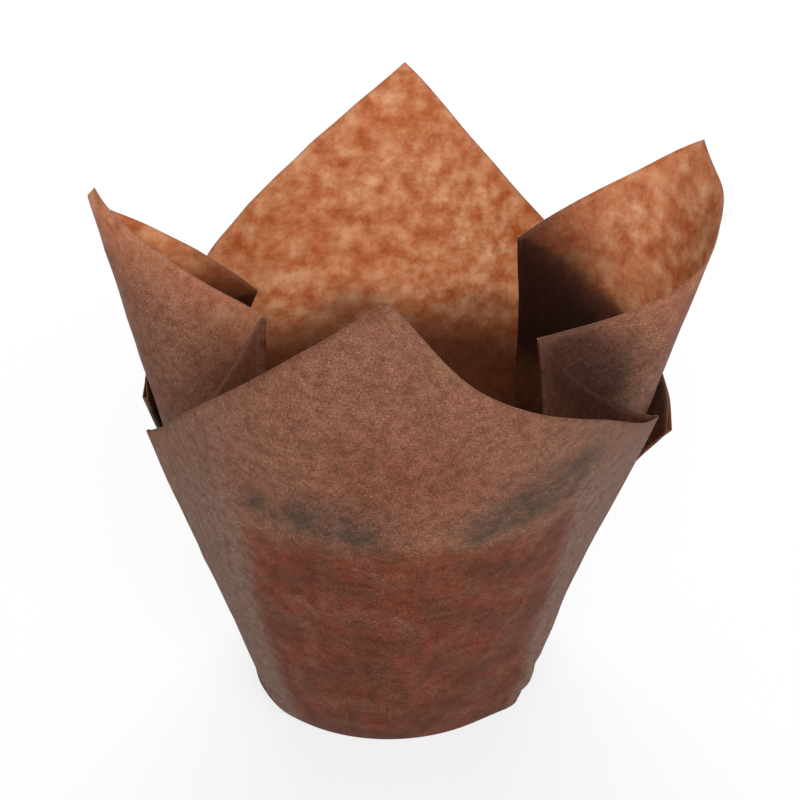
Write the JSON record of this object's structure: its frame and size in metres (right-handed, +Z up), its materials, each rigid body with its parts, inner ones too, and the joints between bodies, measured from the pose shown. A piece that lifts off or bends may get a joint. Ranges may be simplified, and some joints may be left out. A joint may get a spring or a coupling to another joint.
{
  "type": "tulip muffin liner",
  "caption": "Brown baking-paper cup folded from one square sheet, with a flat round base, a flared wall, pleats at the sides and pointed petals that stand round the mouth.",
  "frame": {"origin": "centre of the underside of the flat round base", "axes": "+Z up out of the open mouth, the front petal towards -Y, the right petal towards +X"},
  "size_m": [0.1068, 0.0936, 0.0964],
  "materials": {
    "baking_paper": "matt greaseproof paper, thin enough to glow orange with light behind it"
  },
  "bodies": {
    "root": {"liner": "baking_paper"}
  },
  "joints": []
}
